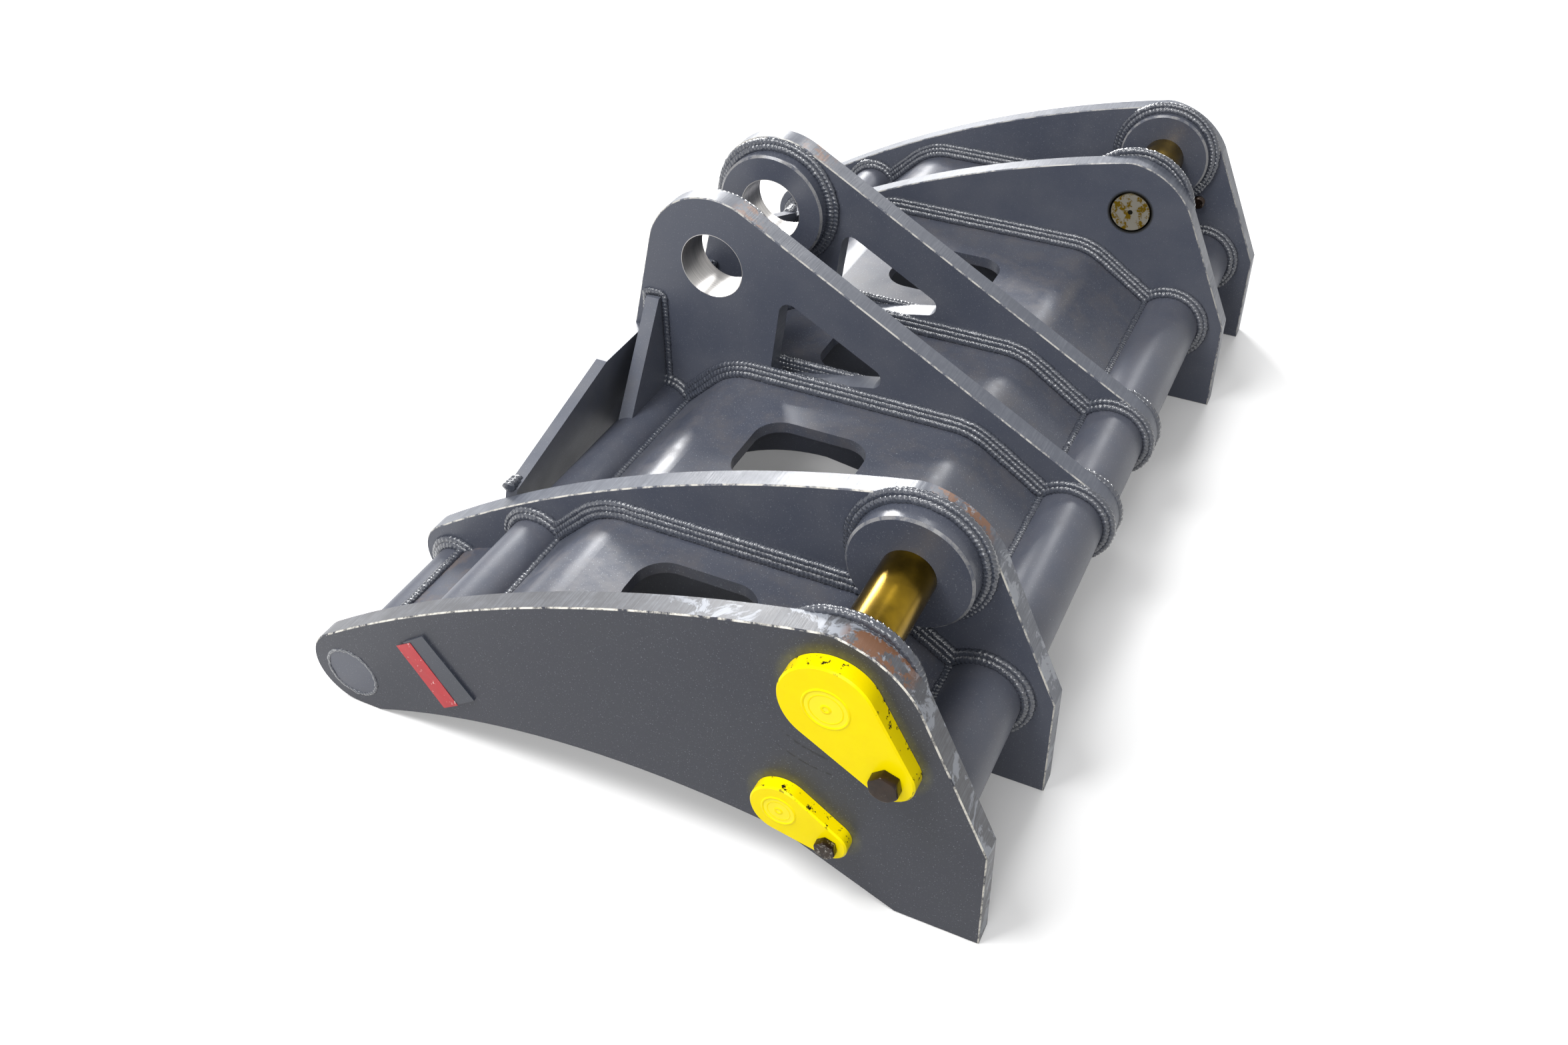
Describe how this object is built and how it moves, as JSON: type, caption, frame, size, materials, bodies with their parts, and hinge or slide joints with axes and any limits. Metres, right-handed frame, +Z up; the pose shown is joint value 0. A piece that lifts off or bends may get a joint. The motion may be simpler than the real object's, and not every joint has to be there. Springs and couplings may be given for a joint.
{
  "type": "wheel loader quick coupler",
  "caption": "Welded quick coupler frame for a wheel loader, with hook bars, tilt ears, decks and keepered arm and lock pins that slide out sideways.",
  "frame": {"origin": "on the floor, below the middle of the box round the whole coupler as it lies on its side plates' lower edges", "axes": "+X along the side plates from the hook bars to the toes, +Y across the coupler from the left outer plate to the right outer plate, +Z up, away from the attachment"},
  "size_m": [0.883, 1.442, 0.4845],
  "materials": {
    "frame_paint": "semi-gloss enamel",
    "keeper_paint": "gloss enamel, chipped",
    "zinc_pin": "yellow passivated zinc",
    "black_bolt": "blackened steel",
    "pad_paint": "plain red enamel"
  },
  "bodies": {
    "frame": {"left_outer_plate": "frame_paint", "left_inner_plate": "frame_paint", "left_outer_arm_boss": "frame_paint", "left_inner_arm_boss": "frame_paint", "left_tilt_boss": "frame_paint", "left_tilt_ear": "frame_paint", "left_hook_bar": "frame_paint", "left_arm_deck": "frame_paint", "left_wide_deck": "frame_paint", "left_back_plate": "frame_paint", "left_ear_gusset": "frame_paint", "left_hook_web": "frame_paint", "right_outer_plate": "frame_paint", "right_inner_plate": "frame_paint", "right_outer_arm_boss": "frame_paint", "right_inner_arm_boss": "frame_paint", "right_tilt_boss": "frame_paint", "right_tilt_ear": "frame_paint", "right_hook_bar": "frame_paint", "right_arm_deck": "frame_paint", "right_wide_deck": "frame_paint", "right_back_plate": "frame_paint", "right_ear_gusset": "frame_paint", "right_hook_web": "frame_paint", "toe_tube": "frame_paint", "rear_tube": "frame_paint", "middle_deck": "frame_paint", "middle_back_plate": "frame_paint", "plain_pad": "pad_paint"},
    "left_arm_pin_set": {"left_arm_pin": "zinc_pin", "left_arm_keeper": "keeper_paint"},
    "left_arm_keeper_bolt_body": {"left_arm_keeper_bolt": "black_bolt"},
    "left_lock_pin_set": {"left_lock_pin": "zinc_pin", "left_lock_keeper": "keeper_paint"},
    "left_lock_keeper_bolt_body": {"left_lock_keeper_bolt": "black_bolt"},
    "right_arm_pin_set": {"right_arm_pin": "zinc_pin", "right_arm_keeper": "keeper_paint"},
    "right_arm_keeper_bolt_body": {"right_arm_keeper_bolt": "black_bolt"},
    "right_lock_pin_set": {"right_lock_pin": "zinc_pin", "right_lock_keeper": "keeper_paint"},
    "right_lock_keeper_bolt_body": {"right_lock_keeper_bolt": "black_bolt"}
  },
  "joints": [
    {"name": "left_arm_pin_slide", "type": "slide", "parent": "frame", "child": "left_arm_pin_set", "axis": [0, -1, 0], "range_m": [0, 0.265]},
    {"name": "left_arm_keeper_bolt_slide", "type": "slide", "parent": "left_arm_pin_set", "child": "left_arm_keeper_bolt_body", "axis": [0, -1, 0], "range_m": [0, 0.065]},
    {"name": "left_lock_pin_slide", "type": "slide", "parent": "frame", "child": "left_lock_pin_set", "axis": [0, -1, 0], "range_m": [0, 0.265]},
    {"name": "left_lock_keeper_bolt_slide", "type": "slide", "parent": "left_lock_pin_set", "child": "left_lock_keeper_bolt_body", "axis": [0, -1, 0], "range_m": [0, 0.065]},
    {"name": "right_arm_pin_slide", "type": "slide", "parent": "frame", "child": "right_arm_pin_set", "axis": [0, 1, 0], "range_m": [0, 0.265]},
    {"name": "right_arm_keeper_bolt_slide", "type": "slide", "parent": "right_arm_pin_set", "child": "right_arm_keeper_bolt_body", "axis": [0, 1, 0], "range_m": [0, 0.065]},
    {"name": "right_lock_pin_slide", "type": "slide", "parent": "frame", "child": "right_lock_pin_set", "axis": [0, 1, 0], "range_m": [0, 0.265]},
    {"name": "right_lock_keeper_bolt_slide", "type": "slide", "parent": "right_lock_pin_set", "child": "right_lock_keeper_bolt_body", "axis": [0, 1, 0], "range_m": [0, 0.065]}
  ]
}
